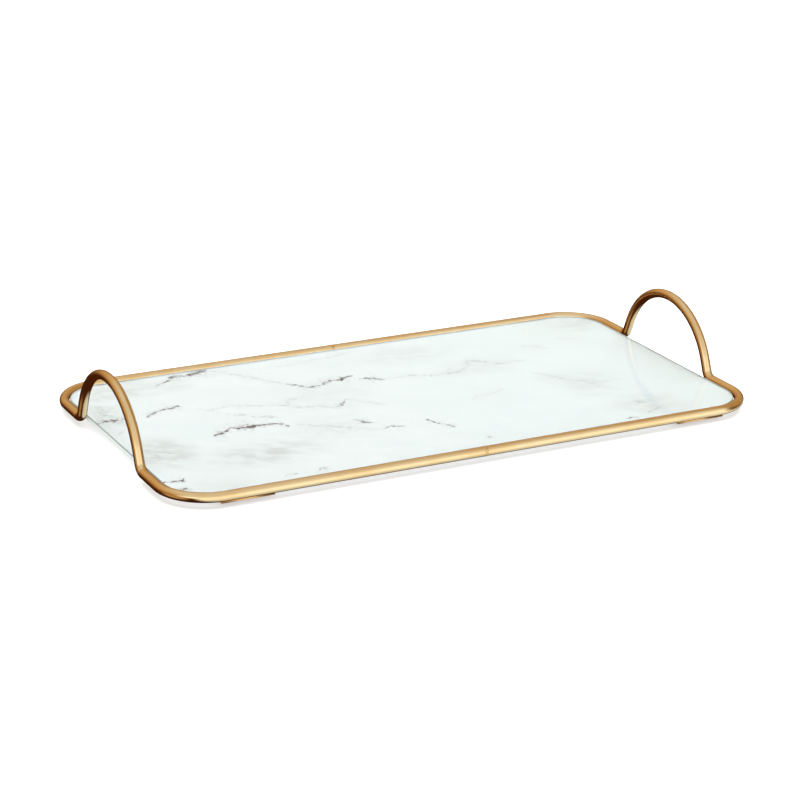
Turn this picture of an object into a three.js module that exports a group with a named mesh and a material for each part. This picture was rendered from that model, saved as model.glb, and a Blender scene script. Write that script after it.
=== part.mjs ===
// Vanity tray: a marble-print glass panel held in a round-rod frame whose
// two ends rise as arched handles.
//
// Units are millimetres. X runs along the tray, Y from the front to the
// rear, and Z up. The origin is on the table, under the middle of the tray.

import * as THREE from 'three';

// ---------------------------------------------------------------- driving sizes
const TRAY_LENGTH = 360;        // over the rods at the two ends
const TRAY_WIDTH = 196;         // over the front and rear rods
const ROD_DIAMETER = 5.5;
const CORNER_RADIUS = 27;       // frame corner, at the rod's centreline
const HANDLE_RISE = 37.5;       // crown of the handle above the rails, centre to centre
const HANDLE_SPAN = 90;         // between the handle's legs where they reach the rails' level
const LEG_SHARE = 0.27;         // part of the rise where the legs run straight
const BASE_BEND_RADIUS = 6;     // from the end rod up into a leg, at the centreline

const GLASS_THICKNESS = 3;
const GLASS_ARRIS = 0.4;        // small chamfer ground along both edges of the glass
const PRINT_THICKNESS = 0.3;    // marble print and its backing film under the glass
const PRINT_INSET = 0.3;        // the print stops just short of the glass edge
const PANEL_CLEARANCE = 0.5;    // from the glass edge to the rod, all round

const TAB_LENGTH = 30;          // along the rail
const TAB_DEPTH = 24;           // from under the rail inwards
const TAB_THICKNESS = 1;
const TAB_CORNER_RADIUS = 4;    // the tab's two inner corners
const TAB_PROUD = 0.5;          // the tab's outer edge, past the rail's centreline
const TAB_FROM_END = 39;        // from the end rod's centreline to the tab's middle

const PAD_LENGTH = 20;          // foam tape between a tab and the panel
const PAD_DEPTH = 14;
const PAD_THICKNESS = 0.5;
const PAD_INSET = 2;            // from the tab's inner edge to the pad

const FOOT_DIAMETER = 10;
const FOOT_HEIGHT = 2;
const FOOT_CHAMFER = 0.6;
const FOOT_FROM_RAIL = 14;      // from the rail's centreline to the foot's middle

const RAIL_WELD_LENGTH = 2;     // bead that joins the two bent rods
const RAIL_WELD_PROUD = 0.1;    // how far the dressed bead stands above the rod
const TAB_WELD_LENGTH = 12;
const TAB_WELD_FROM = 24;       // degrees round the rod from its underside, where the fillet starts
const TAB_WELD_TO = 58;         // and where it ends
const WELD_GAP = 0.05;          // between a fillet and the rod that it follows

// ---------------------------------------------------------------- fineness
const ROD_SIDES = 16;
const RAIL_STEPS = 2;
const CORNER_STEPS = 10;
const BEND_STEPS = 5;
const CROWN_STEPS = 22;
const PANEL_CORNER_STEPS = 10;
const SMALL_CORNER_STEPS = 4;
const WELD_STEPS = 16;
const FOOT_STEPS = 24;

// ---------------------------------------------------------------- sizes that follow
const rodRadius = ROD_DIAMETER / 2;
const halfX = TRAY_LENGTH / 2 - rodRadius;      // the end rods' centreline
const halfY = TRAY_WIDTH / 2 - rodRadius;       // the rails' centreline

const tabBottom = FOOT_HEIGHT;
const tabTop = tabBottom + TAB_THICKNESS;
const rodLevel = tabTop + rodRadius;
const printBottom = tabTop + PAD_THICKNESS;
const glassBottom = printBottom + PRINT_THICKNESS;

const panelInset = rodRadius + PANEL_CLEARANCE;
const panelHalfX = halfX - panelInset;
const panelHalfY = halfY - panelInset;
const panelCorner = CORNER_RADIUS - panelInset;

const tabX = halfX - TAB_FROM_END;
const tabOuterY = halfY + TAB_PROUD;
const tabInnerY = tabOuterY - TAB_DEPTH;
const footY = halfY - FOOT_FROM_RAIL;

// The handle is an arc between two leaning straight legs. Its lean is the one
// that lets the legs meet the arc at LEG_SHARE of the rise.
const legFoot = HANDLE_SPAN / 2;
const legLean = Math.acos((1 - LEG_SHARE) * HANDLE_RISE / Math.hypot(legFoot, HANDLE_RISE))
  - Math.atan2(HANDLE_RISE, legFoot);
const crownRadius = (legFoot * Math.cos(legLean) - HANDLE_RISE * Math.sin(legLean))
  / (1 - Math.sin(legLean));
const bendTurn = Math.PI / 2 - legLean;
const bendStart = legFoot + BASE_BEND_RADIUS * Math.tan(bendTurn / 2);

// ---------------------------------------------------------------- finishes
const finish = {
  gold: { color: 0xcfa35f, metalness: 1, roughness: 0.24 },
  goldWeld: { color: 0xc4965a, metalness: 1, roughness: 0.34 },
  glass: { color: 0xeaf2f0, metalness: 0, roughness: 0.05 },
  marble: { color: 0xf0f4f4, metalness: 0, roughness: 0.4 },
  foam: { color: 0xe6e6e2, metalness: 0, roughness: 0.9 },
  rubber: { color: 0x26262a, metalness: 0, roughness: 0.8 },
};

const tray = new THREE.Group();

function addPiece(name, geometry, look) {
  const mesh = new THREE.Mesh(geometry, new THREE.MeshStandardMaterial(look));
  mesh.name = name;
  tray.add(mesh);
  return mesh;
}

// ---------------------------------------------------------------- curves
// Part of a circle: centre + radius * (cos(angle) * u + sin(angle) * v).
class CircleArc extends THREE.Curve {
  constructor(centre, radius, u, v, from, to) {
    super();
    Object.assign(this, { centre, radius, u, v, from, to });
  }

  getPoint(t, target = new THREE.Vector3()) {
    const angle = THREE.MathUtils.lerp(this.from, this.to, t);
    return target.copy(this.centre)
      .addScaledVector(this.u, this.radius * Math.cos(angle))
      .addScaledVector(this.v, this.radius * Math.sin(angle));
  }
}

// Curves end to end, each with its own number of steps, so that the bends get
// short steps and the straight stretches long ones.
class RodPath extends THREE.Curve {
  constructor() {
    super();
    this.sections = [];
    this.steps = 0;
  }

  append(curve, steps) {
    this.sections.push({ curve, steps, first: this.steps });
    this.steps += steps;
    return this;
  }

  // Steps are spread by section, and not by length.
  getUtoTmapping(u) {
    return u;
  }

  getPoint(t, target = new THREE.Vector3()) {
    const at = THREE.MathUtils.clamp(t, 0, 1) * this.steps;
    const section = this.sections.findLast((each) => each.first <= at && each.first < this.steps);
    return section.curve.getPoint((at - section.first) / section.steps, target);
  }
}

// The centreline of one bent rod, from the middle of the front rail, round one
// end of the tray and back to the middle of the rear rail. side is 1 or -1.
function bentRodPath(side) {
  const along = new THREE.Vector3(side, 0, 0);
  const rear = new THREE.Vector3(0, 1, 0);
  const up = new THREE.Vector3(0, 0, 1);
  const point = (x, y, z = 0) => new THREE.Vector3(side * x, y, rodLevel + z);
  const line = (a, b) => new THREE.LineCurve3(a, b);

  const cornerX = halfX - CORNER_RADIUS;
  const cornerY = halfY - CORNER_RADIUS;
  const quarter = Math.PI / 2;
  const bendEndY = bendStart - BASE_BEND_RADIUS * Math.sin(bendTurn);
  const bendEndZ = BASE_BEND_RADIUS * (1 - Math.cos(bendTurn));
  const crownY = crownRadius * Math.cos(legLean);
  const crownZ = HANDLE_RISE - crownRadius * (1 - Math.sin(legLean));
  const weldFace = RAIL_WELD_LENGTH / 2;

  return new RodPath()
    .append(line(point(weldFace, -halfY), point(cornerX, -halfY)), RAIL_STEPS)
    .append(new CircleArc(point(cornerX, -cornerY), CORNER_RADIUS, along, rear, -quarter, 0), CORNER_STEPS)
    .append(line(point(halfX, -cornerY), point(halfX, -bendStart)), 1)
    .append(new CircleArc(point(halfX, -bendStart, BASE_BEND_RADIUS), BASE_BEND_RADIUS, rear, up,
      -quarter, bendTurn - quarter), BEND_STEPS)
    .append(line(point(halfX, -bendEndY, bendEndZ), point(halfX, -crownY, crownZ)), 1)
    .append(new CircleArc(point(halfX, 0, HANDLE_RISE - crownRadius), crownRadius, rear, up,
      Math.PI - legLean, legLean), CROWN_STEPS)
    .append(line(point(halfX, crownY, crownZ), point(halfX, bendEndY, bendEndZ)), 1)
    .append(new CircleArc(point(halfX, bendStart, BASE_BEND_RADIUS), BASE_BEND_RADIUS, rear, up,
      -quarter - bendTurn, -quarter), BEND_STEPS)
    .append(line(point(halfX, bendStart), point(halfX, cornerY)), 1)
    .append(new CircleArc(point(cornerX, cornerY), CORNER_RADIUS, along, rear, 0, quarter), CORNER_STEPS)
    .append(line(point(cornerX, halfY), point(weldFace, halfY)), RAIL_STEPS);
}

// ---------------------------------------------------------------- shapes
function roundedRectangle(x0, y0, x1, y1, radius) {
  const shape = new THREE.Shape();
  shape.absarc(x1 - radius, y0 + radius, radius, -Math.PI / 2, 0);
  shape.absarc(x1 - radius, y1 - radius, radius, 0, Math.PI / 2);
  shape.absarc(x0 + radius, y1 - radius, radius, Math.PI / 2, Math.PI);
  shape.absarc(x0 + radius, y0 + radius, radius, Math.PI, Math.PI * 1.5);
  return shape;
}

// An extrusion's arcs get two steps for each of its curveSegments.
const segmentsFor = (arcSteps) => arcSteps / 2;

// A flat plate of the given outline, standing on the level z.
function plate(shape, z, thickness, arcSteps) {
  return new THREE.ExtrudeGeometry(shape, {
    depth: thickness,
    curveSegments: segmentsFor(arcSteps),
    bevelEnabled: false,
  }).translate(0, 0, z);
}

// ---------------------------------------------------------------- frame
function bentRodGeometry(side) {
  const section = new THREE.Shape().absarc(0, 0, rodRadius, 0, Math.PI * 2);
  const extrudePath = bentRodPath(side);
  return new THREE.ExtrudeGeometry(section, {
    extrudePath,
    steps: extrudePath.steps,
    curveSegments: segmentsFor(ROD_SIDES),
    bevelEnabled: false,
  });
}

// A dressed butt weld: a short barrel, a little fatter than the rod.
function railWeldGeometry(side) {
  const half = RAIL_WELD_LENGTH / 2;
  const crest = rodRadius + RAIL_WELD_PROUD;
  const profile = [
    new THREE.Vector2(0, -half),
    new THREE.Vector2(rodRadius, -half),
    new THREE.Vector2(crest, -half / 3),
    new THREE.Vector2(crest, half / 3),
    new THREE.Vector2(rodRadius, half),
    new THREE.Vector2(0, half),
  ];
  return new THREE.LatheGeometry(profile, WELD_STEPS)
    .rotateZ(-Math.PI / 2)
    .translate(0, side * halfY, rodLevel);
}

// ---------------------------------------------------------------- panel
function glassGeometry() {
  const outline = roundedRectangle(-panelHalfX, -panelHalfY, panelHalfX, panelHalfY, panelCorner);
  return new THREE.ExtrudeGeometry(outline, {
    depth: GLASS_THICKNESS - 2 * GLASS_ARRIS,
    curveSegments: segmentsFor(PANEL_CORNER_STEPS),
    bevelSize: GLASS_ARRIS,
    bevelThickness: GLASS_ARRIS,
    bevelOffset: -GLASS_ARRIS,
    bevelSegments: 1,
  }).translate(0, 0, glassBottom + GLASS_ARRIS);
}

function printGeometry() {
  const x = panelHalfX - GLASS_ARRIS - PRINT_INSET;
  const y = panelHalfY - GLASS_ARRIS - PRINT_INSET;
  const radius = panelCorner - GLASS_ARRIS - PRINT_INSET;
  return plate(roundedRectangle(-x, -y, x, y, radius), printBottom, PRINT_THICKNESS, PANEL_CORNER_STEPS);
}

// ---------------------------------------------------------------- supports
// A tab's outline: square at the rail, with two rounded corners under the panel.
// endSide is 1 at the right end of the tray and railSide is 1 at the rear.
function tabGeometry(endSide, railSide) {
  const x = endSide * tabX;
  const left = x - TAB_LENGTH / 2;
  const right = x + TAB_LENGTH / 2;
  const radius = TAB_CORNER_RADIUS;
  const shape = new THREE.Shape();
  shape.moveTo(left, -tabOuterY);
  shape.lineTo(right, -tabOuterY);
  shape.absarc(right - radius, -tabInnerY - radius, radius, 0, Math.PI / 2);
  shape.absarc(left + radius, -tabInnerY - radius, radius, Math.PI / 2, Math.PI);
  const geometry = plate(shape, tabBottom, TAB_THICKNESS, SMALL_CORNER_STEPS);
  return railSide < 0 ? geometry : turnedToRear(geometry, x);
}

// A front piece turned half a turn about the upright line at x, so that it serves the rear rail.
function turnedToRear(geometry, x) {
  return geometry.translate(-x, 0, 0).rotateZ(Math.PI).translate(x, 0, 0);
}

// A fillet weld in the corner between the tab and the inner side of the rail.
function tabWeldGeometry(endSide, railSide) {
  const x = endSide * tabX;
  const radius = rodRadius + WELD_GAP;
  const from = THREE.MathUtils.degToRad(TAB_WELD_FROM);
  const to = THREE.MathUtils.degToRad(TAB_WELD_TO);
  const underside = -Math.PI / 2;
  const profile = new THREE.Shape();
  profile.moveTo(radius * Math.sin(from), 0);
  profile.lineTo(radius * Math.sin(to), 0);
  profile.absarc(0, rodRadius, radius, underside + to, underside + from, true);
  const geometry = new THREE.ExtrudeGeometry(profile, {
    depth: TAB_WELD_LENGTH,
    curveSegments: segmentsFor(SMALL_CORNER_STEPS),
    bevelEnabled: false,
  });
  // The profile lies in X and Y: stand it up across the front rail.
  geometry.translate(0, 0, -TAB_WELD_LENGTH / 2).rotateX(Math.PI / 2).rotateZ(Math.PI / 2);
  geometry.translate(x, -halfY, tabTop);
  return railSide < 0 ? geometry : turnedToRear(geometry, x);
}

function padGeometry(endSide, railSide) {
  const x = endSide * tabX;
  const near = tabInnerY + PAD_INSET;
  const far = near + PAD_DEPTH;
  return new THREE.BoxGeometry(PAD_LENGTH, PAD_DEPTH, PAD_THICKNESS)
    .translate(x, railSide * (near + far) / 2, tabTop + PAD_THICKNESS / 2);
}

function footGeometry(endSide, railSide) {
  const radius = FOOT_DIAMETER / 2;
  const profile = [
    new THREE.Vector2(0, 0),
    new THREE.Vector2(radius - FOOT_CHAMFER, 0),
    new THREE.Vector2(radius, FOOT_CHAMFER),
    new THREE.Vector2(radius, FOOT_HEIGHT),
    new THREE.Vector2(0, FOOT_HEIGHT),
  ];
  return new THREE.LatheGeometry(profile, FOOT_STEPS)
    .rotateX(Math.PI / 2)
    .translate(endSide * tabX, railSide * footY, 0);
}

// ---------------------------------------------------------------- assembly
const ends = [['left', -1], ['right', 1]];
const rails = [['front', -1], ['rear', 1]];

for (const [end, side] of ends) {
  addPiece(`frame_rod_${end}`, bentRodGeometry(side), finish.gold);
}
for (const [rail, side] of rails) {
  addPiece(`rail_weld_${rail}`, railWeldGeometry(side), finish.goldWeld);
}
addPiece('glass_panel', glassGeometry(), finish.glass);
addPiece('marble_print', printGeometry(), finish.marble);

for (const [rail, railSide] of rails) {
  for (const [end, endSide] of ends) {
    const place = `${rail}_${end}`;
    addPiece(`support_tab_${place}`, tabGeometry(endSide, railSide), finish.gold);
    addPiece(`tab_weld_${place}`, tabWeldGeometry(endSide, railSide), finish.goldWeld);
    addPiece(`foam_pad_${place}`, padGeometry(endSide, railSide), finish.foam);
    addPiece(`rubber_foot_${place}`, footGeometry(endSide, railSide), finish.rubber);
  }
}

export default tray;
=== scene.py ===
"""Vanity tray: a marble-print glass panel in a gold rod frame with two arched handles.

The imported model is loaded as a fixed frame, and everything is made round it in metres,
with X along the tray, Y from the front to the rear and Z up from the table.
"""

import logging
import math
from collections.abc import Sequence
from dataclasses import dataclass
from enum import Enum

import bmesh
import bpy
from mathutils import Matrix, Vector


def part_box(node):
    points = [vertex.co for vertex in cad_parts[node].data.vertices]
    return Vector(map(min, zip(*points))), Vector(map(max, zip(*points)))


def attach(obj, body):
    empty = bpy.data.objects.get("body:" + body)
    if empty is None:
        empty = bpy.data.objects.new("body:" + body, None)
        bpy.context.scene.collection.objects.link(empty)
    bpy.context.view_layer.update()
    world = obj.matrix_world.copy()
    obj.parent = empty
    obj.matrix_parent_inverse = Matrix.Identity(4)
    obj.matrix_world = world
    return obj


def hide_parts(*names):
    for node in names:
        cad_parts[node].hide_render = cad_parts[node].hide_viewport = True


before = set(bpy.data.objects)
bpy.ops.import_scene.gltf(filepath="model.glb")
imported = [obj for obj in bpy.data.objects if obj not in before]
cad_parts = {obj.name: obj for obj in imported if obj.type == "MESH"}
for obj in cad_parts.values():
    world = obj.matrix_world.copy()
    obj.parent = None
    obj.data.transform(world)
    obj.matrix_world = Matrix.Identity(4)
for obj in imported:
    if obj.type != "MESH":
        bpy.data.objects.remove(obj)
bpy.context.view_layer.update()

log = logging.getLogger("vanity_tray")

MM = 0.001
RIGHT = (1.0, 0.0, 0.0)
UP = (0.0, 0.0, 1.0)
BODY = "root"

Point2 = tuple[float, float]
Point3 = tuple[float, float, float]
Colour = tuple[float, float, float]
Socket = bpy.types.NodeSocket


class Rail(Enum):
    """The two long sides of the tray, by the sign of their Y."""

    FRONT = -1
    REAR = 1

    @property
    def word(self) -> str:
        """The side's name as it stands in node names."""
        return self.name.lower()


class End(Enum):
    """The two short ends of the tray, by the sign of their X."""

    LEFT = -1
    RIGHT = 1

    @property
    def word(self) -> str:
        """The end's name as it stands in node names."""
        return self.name.lower()


# ---------------------------------------------------------------- shader maths


class Value:
    """A number socket that can be used in Python expressions."""

    def __init__(self, book: "NodeBook", socket: Socket) -> None:
        """Wraps an output socket of the tree that book fills."""
        self.book = book
        self.socket = socket

    def _math(self, operation: str, *operands: "Value | float", clamp: bool = False) -> "Value":
        """Adds a Math node on the operands; clamp holds its result between 0 and 1."""
        settings = {"operation": operation, "use_clamp": clamp}
        return self.book.value("ShaderNodeMath", settings, dict(enumerate(operands)))

    def __add__(self, other: "Value | float") -> "Value":
        """self + other."""
        return self._math("ADD", self, other)

    __radd__ = __add__

    def __sub__(self, other: "Value | float") -> "Value":
        """self - other."""
        return self._math("SUBTRACT", self, other)

    def __rsub__(self, other: float) -> "Value":
        """other - self."""
        return self._math("SUBTRACT", other, self)

    def __mul__(self, other: "Value | float") -> "Value":
        """self * other."""
        return self._math("MULTIPLY", self, other)

    __rmul__ = __mul__

    def __truediv__(self, other: "Value | float") -> "Value":
        """self / other."""
        return self._math("DIVIDE", self, other)

    def __rtruediv__(self, other: float) -> "Value":
        """other / self."""
        return self._math("DIVIDE", other, self)

    def __abs__(self) -> "Value":
        """The size of self without its sign."""
        return self._math("ABSOLUTE", self)

    def at_least(self, floor: "Value | float") -> "Value":
        """The larger of self and floor."""
        return self._math("MAXIMUM", self, floor)

    def clamped(self) -> "Value":
        """self held between 0 and 1."""
        return self._math("ADD", self, 0.0, clamp=True)

    def raised(self, low: float) -> "Value":
        """self from 0 to 1, squeezed to run from low to 1."""
        return low + (1 - low) * self

    def about(self, middle: float, spread: float) -> "Value":
        """self from 0 to 1, moved to run from half of spread below middle to half above."""
        return middle + (self - 0.5) * spread

    def step(self, low: float, high: float) -> "Value":
        """A smooth step of self.

        Args:
            low: where the result is 0.
            high: where the result is 1; it may be the smaller of the two.

        Returns:
            A value from 0 to 1.
        """
        settings = {"interpolation_type": "SMOOTHSTEP"}
        if low < high:
            inputs = {"Value": self, "From Min": low, "From Max": high}
        else:
            inputs = {"Value": self, "From Min": high, "From Max": low, "To Min": 1.0, "To Max": 0.0}
        return self.book.value("ShaderNodeMapRange", settings, inputs)


class Nodes:
    """A node tree, with one way to add any node to it."""

    def __init__(self, tree: bpy.types.NodeTree) -> None:
        """Keeps the tree that is filled."""
        self.tree = tree

    def node(self, kind: str, settings: dict | None = None, inputs: dict | None = None) -> bpy.types.Node:
        """Adds any node.

        Args:
            kind: the node's type.
            settings: its attributes, set before its sockets; "ramp" and "curve" hold stops.
            inputs: socket name or number to a value, a Value or an output socket.

        Returns:
            The new node.
        """
        made = self.tree.nodes.new(kind)
        for name, setting in (settings or {}).items():
            if name == "ramp":
                self._set_ramp(made.color_ramp, setting)
            elif name == "curve":
                self._set_curve(made.mapping, setting)
            else:
                setattr(made, name, setting)
        for name, given in (inputs or {}).items():
            if isinstance(given, Value):
                given = given.socket
            if isinstance(given, Socket):
                self.tree.links.new(given, made.inputs[name])
            else:
                made.inputs[name].default_value = given
        return made

    @staticmethod
    def _set_ramp(ramp: bpy.types.ColorRamp, stops: Sequence[tuple[float, Colour]]) -> None:
        """Gives a colour ramp its stops.

        Args:
            ramp: the ramp.
            stops: places from 0 to 1 with their colours.
        """
        while len(ramp.elements) < len(stops):
            ramp.elements.new(1.0)
        for element, (place, colour) in zip(ramp.elements, stops):
            element.position = place
            element.color = (*colour, 1.0)

    @staticmethod
    def _set_curve(mapping: bpy.types.CurveMapping, points: Sequence[Point2]) -> None:
        """Gives a float curve its points.

        Args:
            mapping: the node's mapping.
            points: from left to right, the first at 0 and the last at 1.
        """
        curve = mapping.curves[0]
        for place, height in points[1:-1]:
            curve.points.new(place, height)
        for point, (place, height) in zip(curve.points, points):
            point.location = (place, height)
            point.handle_type = "AUTO_CLAMPED"
        mapping.update()


class NodeBook(Nodes):
    """The node tree of one material or world, with short ways to add to it.

    A noise pattern is three numbers: how many features there are to a unit of length, the
    octaves, and how strong the finer octaves are. The edge that goes with a pattern is
    where in it something starts and where it is full. The Mix node has sockets of one
    name for each kind of data, so its colour sockets are found by number.
    """

    NOISE_SOCKETS = ("Scale", "Detail", "Roughness")
    MIX_FACTOR = 0
    MIX_FIRST = 6
    MIX_SECOND = 7
    MIX_RESULT = 2

    def __init__(self, tree: bpy.types.NodeTree) -> None:
        """Empties the tree."""
        super().__init__(tree)
        tree.nodes.clear()

    def value(self, kind: str, settings: dict | None = None, inputs: dict | None = None,
              output: str | int = 0) -> Value:
        """Adds a node as node() does, and wraps its output of that name or number."""
        return Value(self, self.node(kind, settings, inputs).outputs[output])

    def place(self) -> Socket:
        """The shaded point, in the tray's own frame."""
        return self.node("ShaderNodeTexCoord").outputs["Object"]

    def vector(self, operation: str, first: object, second: object = (0.0, 0.0, 0.0),
               scale: "Value | float" = 1.0) -> Socket:
        """Adds a Vector Math node on one or two vectors; scale is the factor of SCALE."""
        inputs = {0: first, "Scale": scale} if operation == "SCALE" else {0: first, 1: second}
        return self.node("ShaderNodeVectorMath", {"operation": operation}, inputs).outputs["Vector"]

    def dot(self, first: object, second: object) -> Value:
        """The dot product of two vectors."""
        settings = {"operation": "DOT_PRODUCT"}
        return self.value("ShaderNodeVectorMath", settings, {0: first, 1: second}, "Value")

    def noise(self, place: Socket, pattern: Point3, output: str = "Fac") -> Value:
        """Noise read at place: Fac gives one number from 0 to 1, and Color three."""
        inputs = {"Vector": place, **dict(zip(self.NOISE_SOCKETS, pattern))}
        return self.value("ShaderNodeTexNoise", {"noise_dimensions": "3D"}, inputs, output)

    def mix(self, factor: "Value | float", first: object, second: object) -> Socket:
        """Mixes two colours.

        Args:
            factor: 0 for the first and 1 for the second.
            first: a colour or a colour socket.
            second: a colour or a colour socket.

        Returns:
            The colour.
        """
        low, high = [c if isinstance(c, Socket) else (*c, 1.0) for c in (first, second)]
        inputs = {self.MIX_FACTOR: factor, self.MIX_FIRST: low, self.MIX_SECOND: high}
        return self.node("ShaderNodeMix", {"data_type": "RGBA"}, inputs).outputs[self.MIX_RESULT]

    def bump(self, height: Value, distance: float, strength: float) -> Socket:
        """A normal from a height of 0 to 1, where 1 stands for distance, in metres."""
        inputs = {"Height": height, "Distance": distance, "Strength": strength}
        return self.node("ShaderNodeBump", None, inputs).outputs["Normal"]


class Finish:
    """A finish that can be put on a piece. Its material is made once."""

    title = "finish"

    def material(self) -> bpy.types.Material:
        """The finish's material, made when it is first asked for."""
        made = bpy.data.materials.get(self.title)
        if made is None:
            made = bpy.data.materials.new(self.title)
            made.use_nodes = True
            book = NodeBook(made.node_tree)
            surface = self.surface(book)
            book.node("ShaderNodeOutputMaterial", None, {"Surface": surface})
        return made

    def surface(self, book: NodeBook) -> Socket:
        """Adds the finish's nodes to its material's book, and gives back the shader."""
        raise NotImplementedError

    @staticmethod
    def principled(book: NodeBook, **inputs: object) -> Socket:
        """Adds a Principled shader.

        Args:
            book: the material's nodes.
            inputs: socket names, with _ for a space, to values or sockets.

        Returns:
            The shader.
        """
        named = {name.replace("_", " "): given for name, given in inputs.items()}
        if isinstance(named.get("Base Color"), tuple):
            named["Base Color"] = (*named["Base Color"], 1.0)
        return book.node("ShaderNodeBsdfPrincipled", None, named).outputs["BSDF"]


@dataclass(frozen=True)
class GoldRod(Finish):
    """Gold plating on drawn rod, polished along its length.

    It reads two attributes that the rod carries: how far along it a point lies, in
    metres, and where round it. girth is the width that the lines see round the rod,
    and along_rate slows them along it, which draws them out.
    """

    title: str = "rod_plating"
    colour: Colour = (0.96, 0.70, 0.37)
    warm: Colour = (0.93, 0.62, 0.28)
    roughness: float = 0.14
    spread: float = 0.10
    haze: float = 0.05
    line_depth: float = 0.012 * MM
    line_strength: float = 0.5
    lines: Point3 = (1500.0, 3.0, 0.6)
    patches: Point3 = (34.0, 4.0, 0.6)
    patch_edge: Point2 = (0.40, 0.72)
    smears: Point3 = (260.0, 3.0, 0.55)
    smear_edge: Point2 = (0.45, 0.75)
    girth: float = 0.006
    along_rate: float = 0.035

    def surface(self, book: NodeBook) -> Socket:
        """Adds the plating's nodes.

        Args:
            book: the material's nodes.

        Returns:
            The shader.
        """
        along = book.value("ShaderNodeAttribute", {"attribute_name": "rod_along"}, None, "Fac")
        around = book.node("ShaderNodeAttribute", {"attribute_name": "rod_around"}).outputs["Vector"]
        across = book.vector("SCALE", around, scale=self.girth)
        stretched = book.node("ShaderNodeCombineXYZ", None, {"X": along * self.along_rate})
        drawn = book.vector("ADD", across, stretched.outputs["Vector"])
        lines = book.noise(drawn, self.lines)
        place = book.place()
        patches = book.noise(place, self.patches).step(*self.patch_edge)
        smears = book.noise(place, self.smears).step(*self.smear_edge)
        return self.principled(
            book,
            Base_Color=book.mix(patches, self.colour, self.warm),
            Metallic=1.0,
            Roughness=lines.about(self.roughness, self.spread) + smears * self.haze,
            Normal=book.bump(lines, self.line_depth, self.line_strength),
        )


@dataclass(frozen=True)
class Grained(Finish):
    """A finish with a fine grain in its face and soft patches of a second colour."""

    title: str = "grained"
    colour: Colour = (0.5, 0.5, 0.5)
    second: Colour = (0.4, 0.4, 0.4)
    metallic: float = 1.0
    roughness: float = 0.5
    spread: float = 0.2
    grain: Point3 = (1000.0, 3.0, 0.6)
    grain_scale: Point3 = (1.0, 1.0, 1.0)
    grain_depth: float = 0.01 * MM
    grain_strength: float = 0.5
    patches: Point3 = (100.0, 4.0, 0.6)
    patch_edge: Point2 = (0.4, 0.8)
    patch_share: float = 0.6

    def surface(self, book: NodeBook) -> Socket:
        """Adds the grain and the patches.

        Args:
            book: the material's nodes.

        Returns:
            The shader.
        """
        place = book.place()
        scaled = book.node("ShaderNodeMapping", None, {"Vector": place, "Scale": self.grain_scale})
        grain = book.noise(scaled.outputs["Vector"], self.grain)
        patches = book.noise(place, self.patches).step(*self.patch_edge)
        return self.principled(
            book,
            Base_Color=book.mix(patches * self.patch_share, self.colour, self.second),
            Metallic=self.metallic,
            Roughness=grain.about(self.roughness, self.spread),
            Normal=book.bump(grain, self.grain_depth, self.grain_strength),
        )


@dataclass(frozen=True)
class GoldWeld(Grained):
    """The same plating over a dressed weld: duller, rippled by the file and burnt in places."""

    title: str = "weld_plating"
    colour: Colour = (0.84, 0.54, 0.23)
    second: Colour = (0.55, 0.30, 0.12)
    roughness: float = 0.27
    spread: float = 0.14
    grain: Point3 = (1300.0, 4.0, 0.6)
    grain_depth: float = 0.04 * MM
    grain_strength: float = 0.6
    patches: Point3 = (420.0, 3.0, 0.5)
    patch_edge: Point2 = (0.45, 0.75)


@dataclass(frozen=True)
class GoldSheet(Grained):
    """Gold plating on rolled sheet: the rolling grain runs along X, with dull stains."""

    title: str = "sheet_plating"
    colour: Colour = (0.88, 0.52, 0.20)
    second: Colour = (0.66, 0.36, 0.13)
    roughness: float = 0.30
    spread: float = 0.16
    grain: Point3 = (2200.0, 3.0, 0.6)
    grain_scale: Point3 = (0.04, 1.0, 1.0)
    patches: Point3 = (110.0, 4.0, 0.6)
    patch_edge: Point2 = (0.42, 0.75)
    patch_share: float = 0.7


@dataclass(frozen=True)
class FootRubber(Grained):
    """Soft dark rubber with a fine moulded grain and a little dust."""

    title: str = "moulded_rubber"
    colour: Colour = (0.022, 0.022, 0.024)
    second: Colour = (0.11, 0.105, 0.10)
    metallic: float = 0.0
    roughness: float = 0.62
    spread: float = 0.25
    grain: Point3 = (3000.0, 3.0, 0.6)
    grain_depth: float = 0.03 * MM
    patches: Point3 = (300.0, 4.0, 0.6)
    patch_edge: Point2 = (0.5, 0.8)


@dataclass(frozen=True)
class ClearGlass(Finish):
    """Clear float glass with faint wipe marks on its face."""

    title: str = "float_glass"
    tint: Colour = (0.965, 0.988, 0.984)
    index: float = 1.5
    gloss: float = 0.02
    satin: float = 0.09
    wipes: Point3 = (16.0, 5.0, 0.6)
    wipe_edge: Point2 = (0.45, 0.9)
    wipe_haze: float = 0.04

    def surface(self, book: NodeBook) -> Socket:
        """Adds the glass's nodes.

        Args:
            book: the material's nodes.

        Returns:
            The shader.
        """
        wipe = book.noise(book.place(), self.wipes).step(*self.wipe_edge)
        return self.principled(
            book,
            Base_Color=self.tint,
            Roughness=self.satin + wipe * self.wipe_haze,
            IOR=self.index,
            Specular_IOR_Level=self.gloss,
            Transmission_Weight=1.0,
        )


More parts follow.
